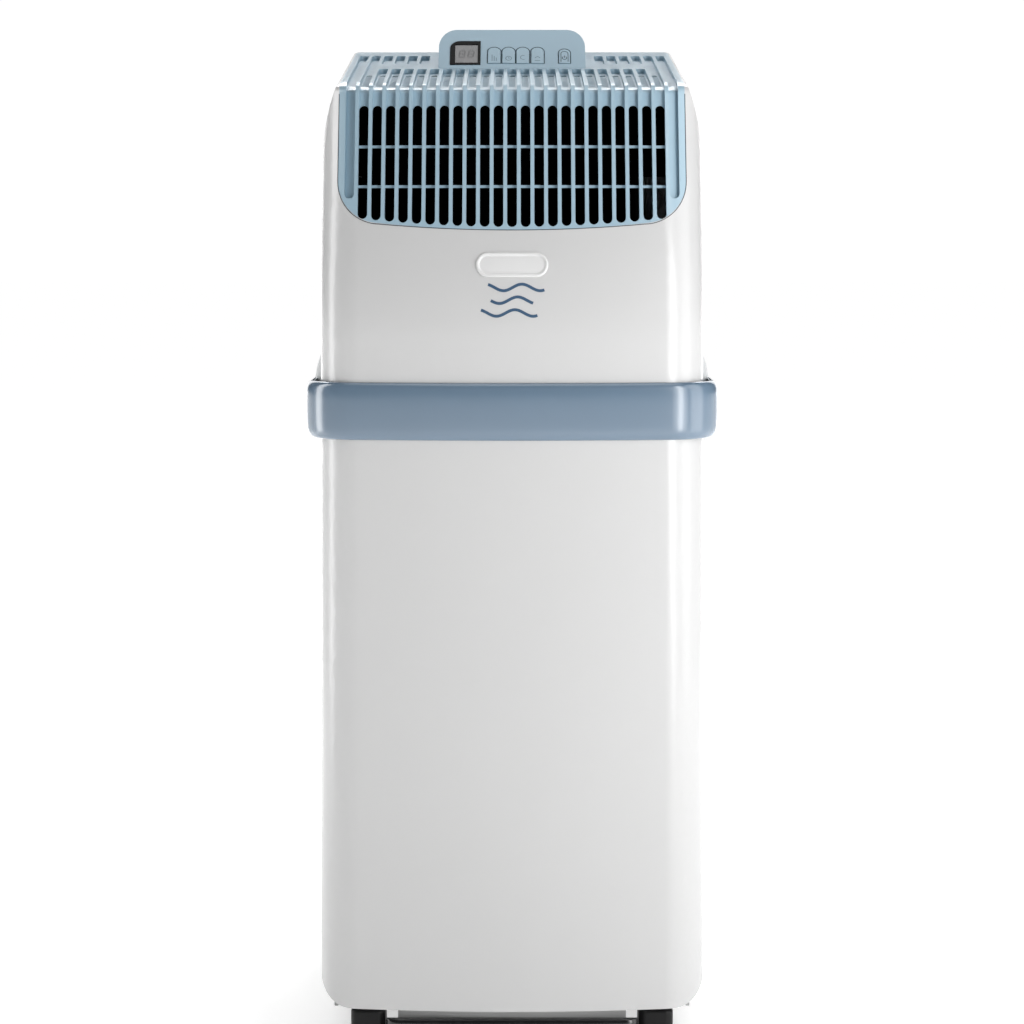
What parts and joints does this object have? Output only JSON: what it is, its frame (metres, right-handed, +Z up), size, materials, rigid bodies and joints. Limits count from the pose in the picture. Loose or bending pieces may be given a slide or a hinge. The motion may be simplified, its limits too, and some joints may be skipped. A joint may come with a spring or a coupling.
{
  "type": "portable air conditioner",
  "caption": "Upright room air conditioner on swivel casters, with a slotted outlet at the top front, a wrap-round carrying band, a raised key panel and a rear exhaust collar.",
  "frame": {"origin": "on the floor under the centre of the bounding box", "axes": "+Z up, the outlet and badge face -Y, +X is the right-hand side seen from the front"},
  "size_m": [0.2992, 0.35, 0.7533],
  "materials": {
    "case_white": "gloss",
    "case_rear": "fine texture",
    "grille_blue": "satin",
    "band_blue": "gloss",
    "cheek_white": "satin",
    "pocket_grey": "matt",
    "panel_blue": "satin",
    "key_blue": "satin",
    "display_black": "gloss",
    "display_glass": "smoked",
    "circuit_green": "solder mask",
    "badge_white": "gloss",
    "vent_grey": "satin",
    "collar_grey": "satin",
    "tray_grey": "satin",
    "chassis_black": "gloss black",
    "caster_black": "satin",
    "wheel_rubber": "matt",
    "rubber_black": "matt",
    "filter_frame": "matt",
    "filter_net": "fine mesh",
    "rail_grey": "matt",
    "coil_aluminium": "fins",
    "fan_black": "satin",
    "duct_black": "foam lined",
    "motor_steel": "zinc plated",
    "pump_black": "enamel",
    "copper": "drawn copper",
    "box_steel": "galvanised",
    "capacitor_can": "drawn",
    "flap_blue": "satin",
    "screw_steel": "zinc",
    "float_white": "moulded"
  },
  "bodies": {
    "housing": {"base_tray": "tray_grey", "front_shell": "case_white", "rear_shell": "case_rear", "outlet_grille": "grille_blue", "handle_band": "band_blue", "handle_cheeks": "cheek_white", "handle_pockets": "pocket_grey", "cross_members": "chassis_black", "control_housing": "panel_blue", "display_bezel": "display_black", "display_window": "display_glass", "control_pcb": "circuit_green", "badge": "badge_white", "intake_grille": "vent_grey", "condenser_grille": "vent_grey", "exhaust_collar": "collar_grey", "drain_spout": "collar_grey", "cord_gland": "rubber_black", "housing_screws": "screw_steel", "filter_rails": "rail_grey", "evaporator_coil": "coil_aluminium", "condenser_coil": "coil_aluminium", "cool_fan_motor": "motor_steel", "cool_fan_casing": "duct_black", "heat_fan_motor": "motor_steel", "heat_fan_scroll": "duct_black", "exhaust_plenum": "duct_black", "compressor": "pump_black", "compressor_grommets": "rubber_black", "discharge_line": "copper", "suction_line": "copper", "capillary_tube": "copper", "slinger_motor": "motor_steel", "float_bracket": "rail_grey", "divider": "box_steel", "electrical_box": "box_steel", "control_board": "circuit_green", "run_capacitor": "capacitor_can", "deflector_motor": "motor_steel"},
    "cool_fan": {"cool_fan_wheel": "fan_black"},
    "heat_fan": {"heat_fan_wheel": "fan_black"},
    "slinger": {"slinger_wheel": "fan_black"},
    "level_float": {"float_arm": "float_white"},
    "flap": {"air_deflector": "flap_blue"},
    "drain_stopper": {"drain_plug": "rubber_black"},
    "air_filter": {"filter_frame": "filter_frame", "filter_mesh": "filter_net"},
    "key_1": {"button_1": "key_blue"},
    "key_2": {"button_2": "key_blue"},
    "key_3": {"button_3": "key_blue"},
    "key_4": {"button_4": "key_blue"},
    "key_power": {"button_power": "key_blue"},
    "caster_front_left": {"caster_hood_front_left": "caster_black"},
    "wheel_front_left": {"caster_wheel_front_left": "wheel_rubber"},
    "caster_front_right": {"caster_hood_front_right": "caster_black"},
    "wheel_front_right": {"caster_wheel_front_right": "wheel_rubber"},
    "caster_rear_left": {"caster_hood_rear_left": "caster_black"},
    "wheel_rear_left": {"caster_wheel_rear_left": "wheel_rubber"},
    "caster_rear_right": {"caster_hood_rear_right": "caster_black"},
    "wheel_rear_right": {"caster_wheel_rear_right": "wheel_rubber"}
  },
  "joints": [
    {"name": "swivel_front_left", "type": "hinge", "parent": "housing", "child": "caster_front_left", "pos_m": [-0.1048, -0.139, 0.034], "axis": [0, 0, 1], "continuous": true},
    {"name": "roll_front_left", "type": "hinge", "parent": "caster_front_left", "child": "wheel_front_left", "pos_m": [-0.1048, -0.143, 0.0132], "axis": [1, 0, 0], "continuous": true},
    {"name": "swivel_front_right", "type": "hinge", "parent": "housing", "child": "caster_front_right", "pos_m": [0.1048, -0.139, 0.034], "axis": [0, 0, 1], "continuous": true},
    {"name": "roll_front_right", "type": "hinge", "parent": "caster_front_right", "child": "wheel_front_right", "pos_m": [0.1048, -0.143, 0.0132], "axis": [1, 0, 0], "continuous": true},
    {"name": "swivel_rear_left", "type": "hinge", "parent": "housing", "child": "caster_rear_left", "pos_m": [-0.1048, 0.128, 0.034], "axis": [0, 0, 1], "continuous": true},
    {"name": "roll_rear_left", "type": "hinge", "parent": "caster_rear_left", "child": "wheel_rear_left", "pos_m": [-0.1048, 0.124, 0.0132], "axis": [1, 0, 0], "continuous": true},
    {"name": "swivel_rear_right", "type": "hinge", "parent": "housing", "child": "caster_rear_right", "pos_m": [0.1048, 0.128, 0.034], "axis": [0, 0, 1], "continuous": true},
    {"name": "roll_rear_right", "type": "hinge", "parent": "caster_rear_right", "child": "wheel_rear_right", "pos_m": [0.1048, 0.124, 0.0132], "axis": [1, 0, 0], "continuous": true},
    {"name": "cool_fan_spin", "type": "hinge", "parent": "housing", "child": "cool_fan", "pos_m": [0, -0.02, 0.56], "axis": [1, 0, 0], "continuous": true},
    {"name": "heat_fan_spin", "type": "hinge", "parent": "housing", "child": "heat_fan", "pos_m": [0.026, 0.06, 0.19], "axis": [0, 1, 0], "continuous": true},
    {"name": "slinger_spin", "type": "hinge", "parent": "housing", "child": "slinger", "pos_m": [0.04, 0.1, 0.0605], "axis": [0, 1, 0], "continuous": true},
    {"name": "flap_swing", "type": "hinge", "parent": "housing", "child": "flap", "pos_m": [0, -0.014, 0.7085], "axis": [1, 0, 0], "range_deg": [0, 42]},
    {"name": "float_swing", "type": "hinge", "parent": "housing", "child": "level_float", "pos_m": [-0.098, 0.06, 0.062], "axis": [-1, 0, 0], "range_deg": [0, 12]},
    {"name": "drain_pull", "type": "slide", "parent": "housing", "child": "drain_stopper", "axis": [0, 1, 0], "range_m": [0, 0.018]},
    {"name": "filter_lift", "type": "slide", "parent": "housing", "child": "air_filter", "axis": [0, 0, 1], "range_m": [0, 0.2]},
    {"name": "press_1", "type": "slide", "parent": "housing", "child": "key_1", "axis": [0, 0.7189, -0.6951], "range_m": [0, 0.0008], "stiffness_N_per_m": 400},
    {"name": "press_2", "type": "slide", "parent": "housing", "child": "key_2", "axis": [0, 0.7189, -0.6951], "range_m": [0, 0.0008], "stiffness_N_per_m": 400},
    {"name": "press_3", "type": "slide", "parent": "housing", "child": "key_3", "axis": [0, 0.7189, -0.6951], "range_m": [0, 0.0008], "stiffness_N_per_m": 400},
    {"name": "press_4", "type": "slide", "parent": "housing", "child": "key_4", "axis": [0, 0.7189, -0.6951], "range_m": [0, 0.0008], "stiffness_N_per_m": 400},
    {"name": "press_power", "type": "slide", "parent": "housing", "child": "key_power", "axis": [0, 0.7189, -0.6951], "range_m": [0, 0.0008], "stiffness_N_per_m": 400}
  ]
}
